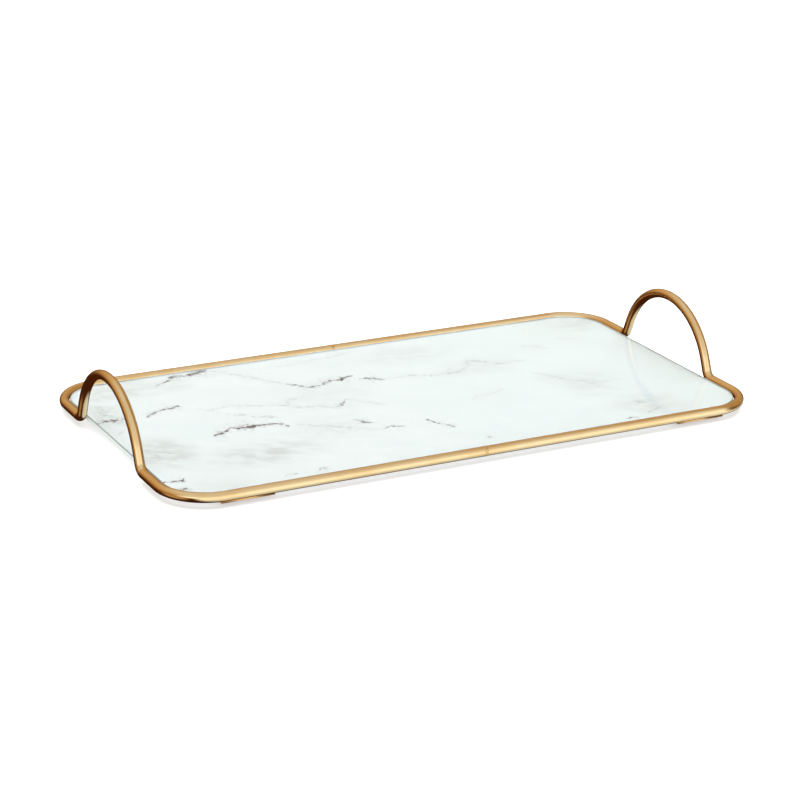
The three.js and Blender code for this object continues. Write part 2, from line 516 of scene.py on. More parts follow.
@dataclass(frozen=True)
class GroundEdge(Finish):
    """The ground rim of the glass: pale grey-green and frosted, with painted shade, a dark band in its
    colour, along its upper rounded edge.
    """

    title: str = "ground_glass_edge"
    colour: Colour = (0.86, 0.90, 0.89)
    shade: Colour = (0.74, 0.80, 0.78)
    # Painted shade: the dark colour laid on the rim's top band, standing in for the dark reflection at the
    # polished edge, and the height of that band.
    arris: Colour = (0.16, 0.18, 0.17)
    arris_height: float = 0.7 * MM
    top: float = 6.8 * MM
    roughness: float = 0.32
    spread: float = 0.2
    grind: Point3 = (2600.0, 3.0, 0.6)
    grind_edge: Point2 = (0.3, 0.7)
    grind_depth: float = 0.02 * MM
    grind_strength: float = 0.4

    def surface(self, book: NodeBook) -> Socket:
        """Adds the rim's nodes.

        Args:
            book: the material's nodes.

        Returns:
            The shader.
        """
        place = book.place()
        grind = book.noise(place, self.grind)
        ground = book.mix(grind.step(*self.grind_edge), self.colour, self.shade)
        # Painted shade: the rim's colour darkens towards its top edge in place of a reflection.
        painted_shade_band = book.dot(place, UP).step(self.top - self.arris_height, self.top)
        return self.principled(
            book,
            Base_Color=book.mix(painted_shade_band, ground, self.arris),
            Roughness=grind.about(self.roughness, self.spread),
            Normal=book.bump(grind, self.grind_depth, self.grind_strength),
        )


@dataclass(frozen=True)
class Vein:
    """One vein of the marble print.

    The route's points are (x, y, half width) in millimetres, and run roughly one way
    from the first to the last. strength is how dark it is. SWAY and WIDEST are what the
    two curves' heights from 0 to 1 stand for. CORE and STAIN are where each starts and
    is full, in half widths from the middle, and ENDS is the share that fades at an end.
    """

    route: tuple[Point3, ...]
    strength: float = 1.0

    SWAY = 40.0
    WIDEST = 5.0
    BREADTH = 1.7
    THINNEST = 0.001
    CORE = (1.0, 0.35)
    STAIN = (4.5, 0.0)
    ENDS = 0.02

    def masks(self, book: NodeBook, place: Socket, ragged: Value) -> tuple[Value, Value]:
        """Adds the vein's nodes.

        Args:
            book: the material's nodes.
            place: the point on the panel, in millimetres, already made wavy.
            ragged: what the width is multiplied by there.

        Returns:
            The dark core and the soft stain round it, each from 0 to strength.
        """
        start, end = Vector(self.route[0][:2]), Vector(self.route[-1][:2])
        run = (end - start).length
        ahead = (end - start) / run
        aside = Vector((-ahead.y, ahead.x))
        steps = [Vector(point[:2]) - start for point in self.route]
        path = [(step @ ahead / run, 0.5 + step @ aside / self.SWAY) for step in steps]
        widths = [(at, point[2] / self.WIDEST) for (at, _), point in zip(path, self.route)]
        along = book.dot(place, (*(ahead / run), 0.0)) - start @ ahead / run
        across = book.dot(place, (*aside, 0.0)) - start @ aside
        centre = (book.value("ShaderNodeFloatCurve", {"curve": path}, {"Value": along}) - 0.5) * self.SWAY
        half = book.value("ShaderNodeFloatCurve", {"curve": widths}, {"Value": along}) * self.WIDEST
        away = abs(across - centre) / (half * ragged * self.BREADTH).at_least(self.THINNEST)
        inside = (along * (1 - along)).step(0.0, self.ENDS)
        core, stain = [away.step(*reach) * self.strength * inside for reach in (self.CORE, self.STAIN)]
        return core, stain


# The print's veins, from the middle of the panel, by how dark they are.
DARK_VEINS = (
    Vein(((-122, 75, 0), (-111, 82, 0.7), (-105, 87, 1.3), (-97, 86, 1.2), (-91, 88, 2.6),
          (-82, 91, 0.8))),
    Vein(((-53, 50, 0), (-48, 44, 0.6), (-43, 39, 1.0), (-37, 38, 0.9), (-33, 40, 0.3)), 0.85),
    Vein(((-34, 38, 0.2), (-29, 43, 1.0), (-24, 44, 0.9), (-20, 42.5, 1.3), (-12, 46, 0.6), (-10, 47, 0))),
    Vein(((-9, 39, 0.2), (-6, 38, 1.0), (-3, 36, 1.5), (1, 33, 0.9), (4, 31, 0)), 0.8),
    Vein(((-174, 32, 0.5), (-168, 33, 1.3), (-162, 32, 1.6), (-158, 33, 0.8), (-154, 38, 0.2))),
    Vein(((-145, 29, 0), (-142, 33, 0.9), (-138, 36, 0.9), (-132, 37, 0.6), (-126, 38, 1.1),
          (-121, 42, 0.3)), 0.95),
    Vein(((-122, -12, 0), (-118, -11, 1.6), (-113, -8, 1.1), (-109, -5, 1.3), (-105, -7, 1.5),
          (-99, -7, 1.7), (-93, -7, 0.7), (-87, -8, 0.7), (-82, -11, 0.8), (-78, -18, 0.3)), 1.15),
    Vein(((-42, 1, 0), (-39, 3, 0.9), (-36, 5, 0.9), (-32, 10, 0.2)), 0.75),
    Vein(((-43, -20, 0), (-40, -24, 0.8), (-37, -28, 0.9), (-33, -32, 0)), 0.75),
    Vein(((-36, -43, 0), (-29, -41, 0.7), (-25, -41, 0.9), (-21, -43, 0.1)), 0.65),
    Vein(((-6, -37, 0.1), (-3, -44, 0.8), (0, -48, 0.6), (3, -54, 0.9), (4, -56, 0)), 0.8),
    Vein(((-174, -64, 0.4), (-168, -66, 0.7), (-164, -67, 1.4), (-161, -64, 0.3)), 0.95),
    Vein(((-171, -76, 0), (-167, -78, 0.9), (-163, -80, 0)), 0.6),
    Vein(((-113, -84, 0), (-109, -83, 0.7), (-104, -82, 0)), 0.5),
    Vein(((-94, -83, 0), (-90, -82, 0.8), (-86, -81, 0)), 0.5),
    Vein(((116, -59, 0), (118, -64, 1.2), (121, -68, 0)), 0.45),
    Vein(((112, -83, 0), (117, -79, 0.9), (124, -76, 0)), 0.35),
    Vein(((96, -86, 0), (100, -85, 0.9), (105, -85, 0)), 0.45),
    Vein(((11, -81, 0), (13, -79, 0.9), (15, -77, 0)), 0.4),
)

FAINT_VEINS = (
    Vein(((-84, 90, 0), (-76, 82, 0.8), (-66, 69, 0.9), (-57, 57, 0.7), (-51, 47, 0.2)), 0.6),
    Vein(((2, 33, 0.2), (20, 32, 0.7), (34, 26, 0.9), (45, 25, 1.1), (57, 31, 0.7), (64, 40, 1.4),
          (72, 35, 1.2), (80, 29, 0.8), (98, 28, 0)), 0.75),
    Vein(((-167, 62, 0), (-163, 54, 1.2), (-165, 45, 1.5), (-161, 38, 0)), 0.6),
    Vein(((-150, 60, 0), (-158, 50, 1.0), (-166, 44, 0)), 0.4),
    Vein(((-171, 10, 0), (-167, 14, 1.0), (-160, 18, 0)), 0.5),
    Vein(((-117, 32, 0), (-107, 26, 1.0), (-97, 27, 0.9), (-83, 23, 0.8), (-71, 18, 0.3)), 0.55),
    Vein(((-72, 18, 0), (-66, 17, 0.9), (-60, 23, 0.9), (-50, 26, 0)), 0.6),
    Vein(((-66, 16, 0.2), (-59, 9, 0.9), (-48, 4, 0.9), (-39, -2, 0)), 0.6),
    Vein(((-109, 24, 0), (-98, 12, 0.5), (-90, 7, 0.9), (-84, 3, 1.1), (-77, -3, 0)), 0.65),
    Vein(((-33, 12, 0), (-26, 5, 0.8), (-20, -2, 0.9), (-13, -9, 0)), 0.5),
    Vein(((-78, -12, 0), (-66, -20, 0.8), (-50, -31, 1.2), (-34, -43, 0)), 0.5),
    Vein(((88, 6, 0), (94, -4, 1.6), (101, -14, 1.2), (110, -27, 1.8), (113, -33, 0)), 0.4),
    Vein(((66, -10, 0), (40, -17, 1.6), (30, -22, 0)), 0.22),
    Vein(((104, 52, 0), (111, 48, 1.8), (122, 40, 0)), 0.3),
    Vein(((132, 57, 0), (141, 52, 1.4), (152, 47, 0)), 0.25),
    Vein(((-62, 82, 0), (-40, 78, 0.7), (-10, 82, 0.9), (16, 84, 0)), 0.35),
)


@dataclass(frozen=True)
class Cloud:
    """A broad soft grey patch of the marble print, in millimetres."""

    centre: Point2
    reach: Point2
    strength: float

    def mask(self, book: NodeBook, place: Socket) -> Value:
        """Adds the patch's nodes.

        Args:
            book: the material's nodes.
            place: the point on the panel, in millimetres.

        Returns:
            The patch, from 0 to strength.
        """
        offset = book.vector("SUBTRACT", place, (*self.centre, 0.0))
        scaled = book.vector("MULTIPLY", offset, (1 / self.reach[0], 1 / self.reach[1], 0.0))
        length = book.value("ShaderNodeVectorMath", {"operation": "LENGTH"}, {0: scaled}, "Value")
        return length.step(1.0, 0.0) * self.strength


CLOUDS = (
    Cloud((-156, -26), (26, 34), 0.95),
    Cloud((-106, -48), (48, 26), 0.75),
    Cloud((-148, 74), (44, 22), 0.55),
    Cloud((-116, 74), (24, 16), 0.50),
    Cloud((-163, 45), (20, 34), 0.45),
    Cloud((-60, -30), (50, 30), 0.30),
    Cloud((34, 66), (46, 24), 0.35),
    Cloud((110, -22), (34, 40), 0.35),
    Cloud((118, -66), (30, 26), 0.40),
    Cloud((160, 76), (26, 24), 0.50),
    Cloud((60, 30), (40, 22), 0.28),
    Cloud((-48, 20), (48, 36), 0.22),
)


@dataclass(frozen=True)
class MarblePrint(Finish):
    """White marble printed on the back of the glass: cool clouds and thin dark veins.

    Its patterns are read in millimetres. waver and tremor are how far the veins stray in
    their wide bends and their small ones. The shares say how strongly each layer is laid
    on, and the gaps how much is left of it where it breaks off. The smoke and the wisps
    are drawn out along drift, in degrees. The white turns to mint from left to right.
    """

    title: str = "printed_marble"
    white: Colour = (0.955, 0.985, 0.985)
    mint: Colour = (0.925, 0.988, 0.978)
    cool: Colour = (0.915, 0.962, 0.962)
    grey: Colour = (0.575, 0.575, 0.56)
    stain: Colour = (0.47, 0.46, 0.48)
    vein: Colour = (0.085, 0.052, 0.062)
    roughness: float = 0.5
    waver: float = 3.0
    bends: Point3 = (0.07, 2.0, 0.5)
    tremor: float = 2.4
    shakes: Point3 = (0.26, 4.0, 0.7)
    ragged: Point3 = (0.34, 4.0, 0.75)
    ragged_edge: Point2 = (0.42, 0.60)
    ragged_least: float = 0.15
    ragged_spread: float = 1.5
    breaks: Point3 = (0.30, 3.0, 0.6)
    break_edge: Point2 = (0.42, 0.56)
    break_gaps: float = 0.28
    specks: Point3 = (1.10, 3.0, 0.6)
    speck_edge: Point2 = (0.34, 0.58)
    speck_gaps: float = 0.45
    dark_share: float = 1.6
    faint_share: float = 0.75
    blur_share: float = 0.22
    stain_share: float = 0.34
    drift: float = -28.0
    drawn_out: float = 1.9
    smoke: Point3 = (0.045, 6.0, 0.62)
    smoke_edge: Point2 = (0.36, 0.68)
    wisps: Point3 = (0.16, 5.0, 0.6)
    wisp_edge: Point2 = (0.38, 0.62)
    streak_edge: Point2 = (0.60, 0.80)
    streak_share: float = 0.05
    cloud_share: float = 0.80
    cloud_gaps: float = 0.30
    mint_edge: Point2 = (-60.0, 110.0)

    def surface(self, book: NodeBook) -> Socket:
        """Adds the print's nodes.

        Args:
            book: the material's nodes.

        Returns:
            The shader.
        """
        flat = book.vector("MULTIPLY", book.place(), (1 / MM, 1 / MM, 0.0))
        wavy = self._wavy(book, flat)
        core, stain = self._veins(book, wavy, DARK_VEINS)
        thin, blur = self._veins(book, wavy, FAINT_VEINS)
        broken = book.noise(flat, self.breaks).step(*self.break_edge)
        speck = book.noise(flat, self.specks).step(*self.speck_edge).raised(self.speck_gaps)
        colour = self._ground(book, flat)
        soft = thin * broken * self.faint_share + blur * self.blur_share + stain * self.stain_share
        faint = soft * speck
        colour = book.mix(faint.clamped(), colour, self.stain)
        dark = core * broken.raised(self.break_gaps) * speck * self.dark_share
        colour = book.mix(dark.clamped(), colour, self.vein)
        return self.principled(book, Base_Color=colour, Roughness=self.roughness)

    def _wavy(self, book: NodeBook, flat: Socket) -> Socket:
        """Shifts the point a little, so that the veins wander.

        Args:
            book: the material's nodes.
            flat: the point on the panel, in millimetres.

        Returns:
            The shifted point.
        """
        middle = (0.5, 0.5, 0.5)
        shifted = flat
        for pattern, reach in ((self.bends, self.waver), (self.shakes, self.tremor)):
            noise = book.noise(flat, pattern, "Color")
            shift = book.vector("SCALE", book.vector("SUBTRACT", noise, middle), scale=reach * 2)
            shifted = book.vector("ADD", shifted, shift)
        return shifted

    def _veins(self, book: NodeBook, wavy: Socket, veins: Sequence[Vein]) -> tuple[Value, Value]:
        """Joins many veins.

        Args:
            book: the material's nodes.
            wavy: the shifted point.
            veins: the veins.

        Returns:
            Their cores and their stains, each as the strongest at the point.
        """
        rough = book.noise(wavy, self.ragged).step(*self.ragged_edge)
        ragged = self.ragged_least + rough * self.ragged_spread
        masks = [vein.masks(book, wavy, ragged) for vein in veins]
        core, stain = masks[0]
        for next_core, next_stain in masks[1:]:
            core = core.at_least(next_core)
            stain = stain.at_least(next_stain)
        return core, stain

    def _ground(self, book: NodeBook, flat: Socket) -> Socket:
        """The stone behind the veins.

        Args:
            book: the material's nodes.
            flat: the point on the panel, in millimetres.

        Returns:
            Its colour.
        """
        turn = (0.0, 0.0, math.radians(self.drift))
        turned = book.node(
            "ShaderNodeMapping", {"vector_type": "TEXTURE"},
            {"Vector": flat, "Rotation": turn, "Scale": (self.drawn_out, 1.0, 1.0)},
        ).outputs["Vector"]
        smoke = book.noise(turned, self.smoke).step(*self.smoke_edge)
        to_right = book.dot(flat, RIGHT).step(*self.mint_edge)
        wisps = book.noise(turned, self.wisps)
        patch = CLOUDS[0].mask(book, flat)
        for cloud in CLOUDS[1:]:
            patch = patch.at_least(cloud.mask(book, flat))
        white = book.mix(to_right, self.white, self.mint)
        ground = book.mix(smoke, white, self.cool)
        cloudy = patch * wisps.step(*self.wisp_edge).raised(self.cloud_gaps) * self.cloud_share
        streaks = wisps.step(*self.streak_edge) * self.streak_share
        return book.mix((cloudy + streaks).clamped(), ground, self.grey)


@dataclass(frozen=True)
class FoamTape(Finish):
    """White closed-cell foam tape."""

    title: str = "white_foam"
    colour: Colour = (0.78, 0.78, 0.75)
    shade: Colour = (0.62, 0.62, 0.60)
    roughness: float = 0.75
    cell_roughness: float = 0.2
    cells_per_metre: float = 3200.0
    cell_edge: Point2 = (0.2, 0.8)
    cell_depth: float = 0.05 * MM
    cell_strength: float = 0.5

    def surface(self, book: NodeBook) -> Socket:
        """Adds the foam's nodes.

        Args:
            book: the material's nodes.

        Returns:
            The shader.
        """
        inputs = {"Vector": book.place(), "Scale": self.cells_per_metre}
        cells = book.value("ShaderNodeTexVoronoi", None, inputs, "Distance")
        return self.principled(
            book,
            Base_Color=book.mix(cells.step(*self.cell_edge), self.colour, self.shade),
            Roughness=self.roughness + cells * self.cell_roughness,
            Normal=book.bump(cells, self.cell_depth, self.cell_strength),
        )


# ---------------------------------------------------------------- mesh helpers


def add_object(name: str, mesh: bpy.types.Mesh, *finishes: Finish) -> bpy.types.Object:
    """Makes an object of a mesh whose place is in its vertices.

    Args:
        name: the piece's name.
        mesh: its mesh.
        finishes: its finishes, one for each material slot.

    Returns:
        The object, linked to the scene.
    """
    mesh.name = name
    for finish in finishes:
        mesh.materials.append(finish.material())
    made = bpy.data.objects.new(name, mesh)
    bpy.context.scene.collection.objects.link(made)
    return made


def stand_for(piece: bpy.types.Object, node: str) -> None:
    """Lets a piece ride with the tray in place of a CAD node.

    Args:
        piece: the finished piece.
        node: the CAD node that it stands for.
    """
    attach(piece, BODY)
    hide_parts(node)
    log.info("made %s for %s: %d faces", piece.name, node, len(piece.data.polygons))


def rounded_rectangle(half_x: float, half_y: float, radius: float, steps: int) -> list[Point2]:
    """The outline of a rounded rectangle about the origin, anticlockwise.

    Args:
        half_x: half its length.
        half_y: half its width.
        radius: its corner radius.
        steps: the steps in each corner.

    Returns:
        Its points.
    """
    points = []
    for corner in range(4):
        side_x = 1 if corner in (0, 3) else -1
        side_y = 1 if corner in (0, 1) else -1
        centre = (side_x * (half_x - radius), side_y * (half_y - radius))
        for step in range(steps + 1):
            angle = math.radians(90.0 * (corner + step / steps))
            points.append((centre[0] + radius * math.cos(angle), centre[1] + radius * math.sin(angle)))
    return points


def stacked(rings: Sequence[Sequence[Vector]], cap_slots: tuple[int, int] = (0, 0),
            wall_slot: int = 0) -> bpy.types.Mesh:
    """A closed solid from rings of equal length, lowest first, each anticlockwise from above.

    Args:
        rings: the rings.
        cap_slots: the material slots of the bottom and the top.
        wall_slot: the material slot of the walls.

    Returns:
        The mesh, with smooth walls and a hard edge round each cap.
    """
    mesh = bpy.data.meshes.new("stacked")
    work = bmesh.new()
    rows = [[work.verts.new(point) for point in ring] for ring in rings]
    bottom = work.faces.new(list(reversed(rows[0])))
    top = work.faces.new(rows[-1])
    bottom.material_index, top.material_index = cap_slots
    for low, high in zip(rows, rows[1:]):
        for i, start in enumerate(low):
            j = (i + 1) % len(low)
            wall = work.faces.new((start, low[j], high[j], high[i]))
            wall.smooth = True
            wall.material_index = wall_slot
    for cap in (bottom, top):
        for edge in cap.edges:
            edge.smooth = False
    work.to_mesh(mesh)
    work.free()
    return mesh


def rounded_levels(low: float, high: float, fillet: float, steps: int) -> list[Point2]:
    """Heights with insets for a plate whose two rims are rounded.

    Args:
        low: the plate's bottom.
        high: its top.
        fillet: the rims' radius.
        steps: the steps round each rim.

    Returns:
        (height, inset) pairs, lowest first.
    """
    quarter = [math.radians(90.0 * step / steps) for step in range(steps + 1)]
    rim = [(fillet * (1 - math.sin(angle)), fillet * (1 - math.cos(angle))) for angle in quarter]
    lower = [(low + rise, inset) for inset, rise in rim]
    upper = [(high - rise, inset) for inset, rise in reversed(rim)]
    return lower + upper


# ---------------------------------------------------------------- geometry nodes


class ShapeTree(Nodes):
    """A Geometry Nodes tree with named inputs, whose result is made a plain mesh."""

    def __init__(self, name: str, numbers: dict[str, float | int]) -> None:
        """Makes the tree's sockets.

        Args:
            name: the tree's name.
            numbers: the named sizes, whole numbers for counts.
        """
        super().__init__(bpy.data.node_groups.new(name, "GeometryNodeTree"))
        face = self.tree.interface
        face.new_socket("Geometry", in_out="INPUT", socket_type="NodeSocketGeometry")
        face.new_socket("Geometry", in_out="OUTPUT", socket_type="NodeSocketGeometry")
        self.numbers = numbers
        for label, number in numbers.items():
            kind = "NodeSocketInt" if isinstance(number, int) else "NodeSocketFloat"
            face.new_socket(label, in_out="INPUT", socket_type=kind)
        self.given = self.node("NodeGroupInput")
        self.result = self.node("NodeGroupOutput")

    def end(self, geometry: Socket, finish: Finish) -> None:
        """Closes the tree.

        Args:
            geometry: what it has made.
            finish: the finish that it puts on.
        """
        real = self.node("GeometryNodeRealizeInstances", None, {"Geometry": geometry})
        dressed = self.node(
            "GeometryNodeSetMaterial", None,
            {"Geometry": real.outputs["Geometry"], "Material": finish.material()},
        )
        self.tree.links.new(dressed.outputs["Geometry"], self.result.inputs["Geometry"])

    def run(self, name: str, base: bpy.types.Mesh, **numbers: float) -> bpy.types.Object:
        """Runs the tree on a mesh.

        Args:
            name: the new object's name.
            base: the mesh that it starts from.
            numbers: sizes that differ from the tree's own.

        Returns:
            An object with the plain result.
        """
        holder = add_object(name, base)
        modifier = holder.modifiers.new("shape", "NODES")
        modifier.node_group = self.tree
        wanted = self.numbers | numbers
        for item in self.tree.interface.items_tree:
            if item.in_out == "INPUT" and item.name in wanted:
                modifier[item.identifier] = wanted[item.name]
        graph = bpy.context.evaluated_depsgraph_get()
        plain = bpy.data.meshes.new_from_object(holder.evaluated_get(graph))
        bpy.data.objects.remove(holder)
        bpy.data.meshes.remove(base)
        return add_object(name, plain)


def polyline(points: Sequence[Vector]) -> bpy.types.Mesh:
    """An open chain of edges.

    Args:
        points: its points.

    Returns:
        The mesh.
    """
    mesh = bpy.data.meshes.new("polyline")
    mesh.from_pydata(points, [(i, i + 1) for i in range(len(points) - 1)], [])
    return mesh


# ---------------------------------------------------------------- frame


@dataclass
class RodFrame:
    """The two bent rods with their handles, and the welds that join them."""

    corner_radius: float = 27 * MM
    handle_span: float = 90 * MM
    leg_share: float = 0.27
    base_bend: float = 6 * MM
    weld_crest: float = 0.1 * MM
    sides: int = 40
    corner_steps: int = 40
    bend_steps: int = 20
    crown_steps: int = 96
    straight_steps: int = 24
    weld_sides: int = 48
    weld_stations: int = 13
    weld_ripple: float = 0.25
    weld_ripples: int = 7
    weld_twist: float = 3.0

    def __post_init__(self) -> None:
        """Reads the frame's main sizes from the CAD nodes."""
        low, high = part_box("frame_rod_right")
        weld_low, weld_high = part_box("rail_weld_front")
        self.level = (weld_low.z + weld_high.z) / 2
        self.radius = self.level - low.z
        self.half_x = high.x - self.radius
        self.half_y = high.y - self.radius
        self.weld_face = low.x
        self.rise = high.z - self.radius - self.level

    def handle_shape(self) -> tuple[float, float]:
        """The handle's lean and the radius of its crown.

        Returns:
            How far the legs lean from upright, in radians, and the crown's radius.
        """
        foot = self.handle_span / 2
        reach = math.hypot(foot, self.rise)
        lean = math.acos((1 - self.leg_share) * self.rise / reach) - math.atan2(self.rise, foot)
        crown = (foot * math.cos(lean) - self.rise * math.sin(lean)) / (1 - math.sin(lean))
        return lean, crown

    def half_route(self) -> list[Vector]:
        """The rod's centreline from the middle of the front rail to the handle's crown.

        Returns:
            Its points, for the right end.
        """
        lean, crown = self.handle_shape()
        turn = math.pi / 2 - lean
        bend_y = -self.handle_span / 2 - self.base_bend * math.tan(turn / 2)
        corner = Vector((self.half_x - self.corner_radius, -self.half_y + self.corner_radius))
        route = self._line((self.weld_face, -self.half_y, 0), (corner.x, -self.half_y, 0))
        for angle in self._angles(-90, 0, self.corner_steps):
            route.append((corner.x + self.corner_radius * math.cos(angle),
                          corner.y + self.corner_radius * math.sin(angle), 0))
        route += self._line(route.pop(), (self.half_x, bend_y, 0))
        for angle in self._angles(0, math.degrees(turn), self.bend_steps):
            route.append((self.half_x, bend_y + self.base_bend * math.sin(angle),
                          self.base_bend * (1 - math.cos(angle))))
        for angle in self._angles(180 - math.degrees(lean), 90, self.crown_steps // 2):
            route.append((self.half_x, crown * math.cos(angle), self.rise - crown * (1 - math.sin(angle))))
        return [Vector((x, y, self.level + z)) for x, y, z in route]

    def _line(self, start: Point3, end: Point3) -> list[Point3]:
        """Points along a straight stretch, without its last."""
        first, last = Vector(start), Vector(end)
        return [tuple(first.lerp(last, step / self.straight_steps)) for step in range(self.straight_steps)]

    @staticmethod
    def _angles(first: float, last: float, steps: int) -> list[float]:
        """Evenly spaced angles in radians, between two in degrees and with both of them."""
        return [math.radians(first + (last - first) * step / steps) for step in range(steps + 1)]

    def route(self, end: End) -> list[Vector]:
        """One bent rod's whole centreline.

        Args:
            end: which end of the tray it goes round.

        Returns:
            Its points, from the front rail to the rear rail.
        """
        half = self.half_route()
        whole = half + [Vector((p.x, -p.y, p.z)) for p in reversed(half[:-1])]
        return [Vector((end.value * p.x, p.y, p.z)) for p in whole]

    def sweep_tree(self) -> ShapeTree:
        """The tree that sweeps a round section along a chain of edges.

        Returns:
            The tree.
        """
        shape = ShapeTree("sweep_rod", {"Radius": self.radius, "Sides": self.sides})
        curve = shape.node("GeometryNodeMeshToCurve", None, {"Mesh": shape.given.outputs["Geometry"]})
        length = shape.node("GeometryNodeSplineParameter").outputs["Length"]
        marked = shape.node(
            "GeometryNodeStoreNamedAttribute", {"data_type": "FLOAT", "domain": "POINT"},
            {"Geometry": curve.outputs["Curve"], "Name": "rod_along", "Value": length},
        )
        section = shape.node(
            "GeometryNodeCurvePrimitiveCircle", None,
            {"Resolution": shape.given.outputs["Sides"], "Radius": shape.given.outputs["Radius"]},
        )
        point = shape.node("GeometryNodeInputPosition").outputs["Position"]
        outward = shape.node("ShaderNodeVectorMath", {"operation": "NORMALIZE"}, {0: point})
        round_section = shape.node(
            "GeometryNodeStoreNamedAttribute", {"data_type": "FLOAT_VECTOR", "domain": "POINT"},
            {"Geometry": section.outputs["Curve"], "Name": "rod_around",
             "Value": outward.outputs["Vector"]},
        )
        swept = shape.node(
            "GeometryNodeCurveToMesh", None,
            {"Curve": marked.outputs["Geometry"], "Profile Curve": round_section.outputs["Geometry"],
             "Fill Caps": True},
        )
        shape.end(swept.outputs["Mesh"], GoldRod())
        return shape

    def build(self) -> None:
        """Makes the rods and the rail welds."""
        tree = self.sweep_tree()
        for end in End:
            rod = tree.run(f"bent_rod_{end.word}", polyline(self.route(end)))
            self._finish_rod(rod)
            stand_for(rod, f"frame_rod_{end.word}")
        for rail in Rail:
            self._rail_weld(rail)

    @staticmethod
    def _finish_rod(rod: bpy.types.Object) -> None:
        """Turns the faces out and smooths the walls.

        Args:
            rod: the swept rod.
        """
        work = bmesh.new()
        work.from_mesh(rod.data)
        bmesh.ops.remove_doubles(work, verts=work.verts, dist=0.001 * MM)
        bmesh.ops.recalc_face_normals(work, faces=work.faces)
        for face in work.faces:
            face.smooth = len(face.verts) == 4
        for cap in [face for face in work.faces if not face.smooth]:
            for edge in cap.edges:
                edge.smooth = False
        work.to_mesh(rod.data)
        work.free()

    def _rail_weld(self, rail: Rail) -> None:
        """Makes the dressed weld in the middle of one rail.

        Args:
            rail: which rail.
        """
        low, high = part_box(f"rail_weld_{rail.word}")
        half = (high.x - low.x) / 2
        rings = []
        for station in range(self.weld_stations):
            across = -1 + 2 * station / (self.weld_stations - 1)
            swell = self.weld_crest * (1 - across ** 4)
            ring = []
            for side in range(self.weld_sides):
                angle = math.tau * side / self.weld_sides
                wave = math.sin(self.weld_ripples * angle + self.weld_twist * across)
                radius = self.radius + swell - abs(self.weld_ripple * swell * wave)
                y = rail.value * self.half_y + radius * math.cos(angle)
                ring.append(Vector((across * half, y, self.level + radius * math.sin(angle))))
            rings.append(ring)
        weld = add_object(f"dressed_weld_{rail.word}", stacked(rings), GoldWeld())
        stand_for(weld, f"rail_weld_{rail.word}")


# ---------------------------------------------------------------- panel


@dataclass
class Panel:
    """The glass, with the marble print on its back, and the backing film behind that.

    Its corners have the same middles as the corners of the rod frame round it. bond_gap
    keeps the printed back of the glass clear of the film.
    """

    rods: RodFrame
    rim_fillet: float = 0.45 * MM
    bond_gap: float = 0.02 * MM
    corner_steps: int = 24
    rim_steps: int = 4

    def build(self) -> None:
        """Makes the glass and dresses the print."""
        low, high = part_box("glass_panel")
        corner = self.rods.corner_radius - (self.rods.half_x - high.x)
        rings = []
        for height, inset in rounded_levels(low.z + self.bond_gap, high.z, self.rim_fillet, self.rim_steps):
            outline = rounded_rectangle(high.x - inset, high.y - inset, corner - inset, self.corner_steps)
            rings.append([Vector((x, y, height)) for x, y in outline])
        mesh = stacked(rings, cap_slots=(1, 0), wall_slot=2)
        glass = add_object("printed_glass", mesh, ClearGlass(), MarblePrint(), GroundEdge())
        glass.visible_glossy = False
        stand_for(glass, "glass_panel")
        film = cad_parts["marble_print"]
        film.data.materials.clear()
        film.data.materials.append(MarblePrint().material())
        film.visible_glossy = False
        log.info("dressed marble_print")


# ---------------------------------------------------------------- supports


